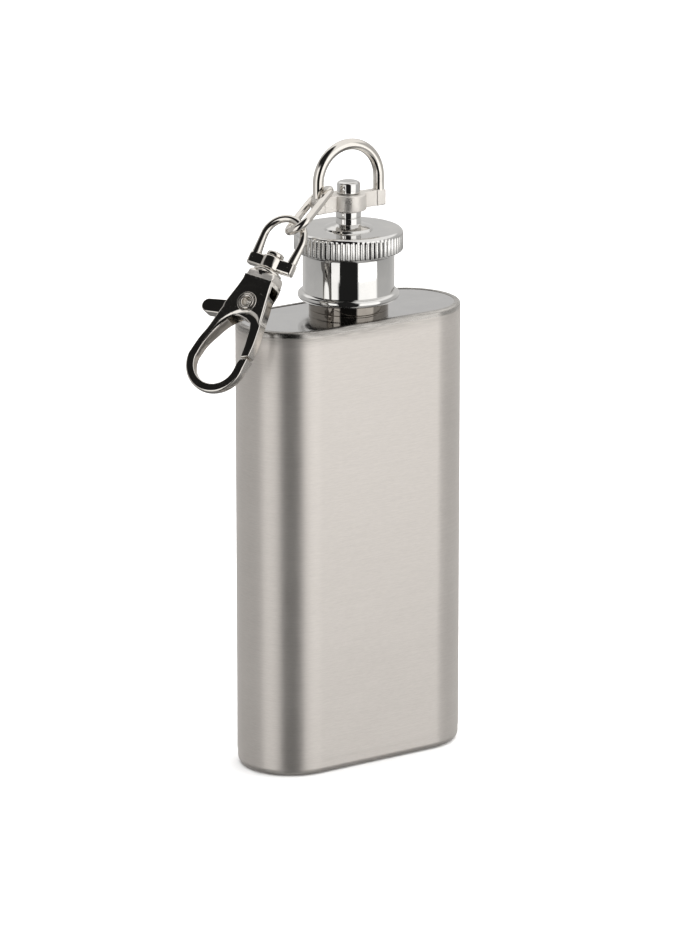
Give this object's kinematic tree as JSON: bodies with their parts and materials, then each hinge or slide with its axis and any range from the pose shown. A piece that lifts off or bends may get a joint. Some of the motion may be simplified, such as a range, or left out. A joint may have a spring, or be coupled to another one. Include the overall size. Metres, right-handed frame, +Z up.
{
  "type": "keychain hip flask",
  "caption": "Flat stainless hip flask, keychain size, with a knurled screw cap, swivel shackle, oval link and lobster swivel clasp.",
  "frame": {"origin": "centre of the flask's base, on the surface it stands on", "axes": "+Z up through the neck; +X along the flask's width, away from the clasp; the front face looks along -Y"},
  "size_m": [0.058, 0.02, 0.1147],
  "materials": {
    "body_shell": "satin, fine horizontal brushing",
    "top_plate": "fine satin",
    "bottom_plate": "fine satin",
    "neck_collar": "polished",
    "neck_spout": "polished",
    "cap_seal": "soft, matte",
    "cap_shell": "bright plating",
    "cap_insert": "moulded, matte",
    "swivel_base": "bright plating",
    "swivel_spacer": "bright plating",
    "swivel_rivet": "bright plating",
    "rivet_washer": "plain plating",
    "shackle": "nickel plated casting",
    "oval_link": "nickel plated wire",
    "clasp_eye": "nickel plated casting",
    "clasp_pin": "nickel plated",
    "clasp_hook": "nickel plated casting",
    "clasp_eyelet": "nickel plated",
    "gate_lever": "nickel plated casting",
    "gate_spring": "drawn spring wire"
  },
  "bodies": {
    "flask": {"body_shell": "body_shell", "top_plate": "top_plate", "bottom_plate": "bottom_plate", "neck_collar": "neck_collar", "neck_spout": "neck_spout"},
    "seal": {"cap_seal": "cap_seal"},
    "cap": {"cap_shell": "cap_shell", "cap_insert": "cap_insert", "swivel_base": "swivel_base", "swivel_spacer": "swivel_spacer", "swivel_rivet": "swivel_rivet", "rivet_washer": "rivet_washer"},
    "shackle": {"shackle": "shackle"},
    "link": {"oval_link": "oval_link"},
    "eye": {"clasp_eye": "clasp_eye"},
    "clasp": {"clasp_hook": "clasp_hook", "clasp_pin": "clasp_pin", "clasp_eyelet": "clasp_eyelet", "gate_spring": "gate_spring"},
    "gate": {"gate_lever": "gate_lever"}
  },
  "joints": [
    {"name": "cap_lift", "type": "slide", "parent": "flask", "child": "seal", "axis": [0, 0, 1], "range_m": [0, 0.0091]},
    {"name": "cap_turn", "type": "hinge", "parent": "seal", "child": "cap", "pos_m": [0, 0, 0.09], "axis": [0, 0, 1], "range_deg": [0, 1620]},
    {"name": "shackle_swivel", "type": "hinge", "parent": "cap", "child": "shackle", "pos_m": [0, 0, 0.1032], "axis": [0, 0, 1], "continuous": true},
    {"name": "link_swing", "type": "hinge", "parent": "shackle", "child": "link", "pos_m": [-0.0045, 0, 0.1056], "axis": [0, 1, 0], "range_deg": [0, 75]},
    {"name": "eye_swing", "type": "hinge", "parent": "link", "child": "eye", "pos_m": [-0.01266, -0.00318, 0.10162], "axis": [-0.5332, 0.2925, 0.7938], "range_deg": [0, 100]},
    {"name": "clasp_swivel", "type": "hinge", "parent": "eye", "child": "clasp", "pos_m": [-0.01875, -0.00302, 0.09451], "axis": [0.5749, 0.1222, 0.809], "range_deg": [-35, 180]},
    {"name": "gate_pivot", "type": "hinge", "parent": "clasp", "child": "gate", "pos_m": [-0.0235, -0.00373, 0.08804], "axis": [0.7175, 0.3998, -0.5703], "range_deg": [0, 24], "stiffness_Nm_per_rad": 0.004, "springref_deg": -28.65, "deforming": ["gate_spring"]}
  ],
  "couplings": [
    {"joint": "cap_lift", "follows": "cap_turn", "m_per_rad": 0.00031831}
  ]
}
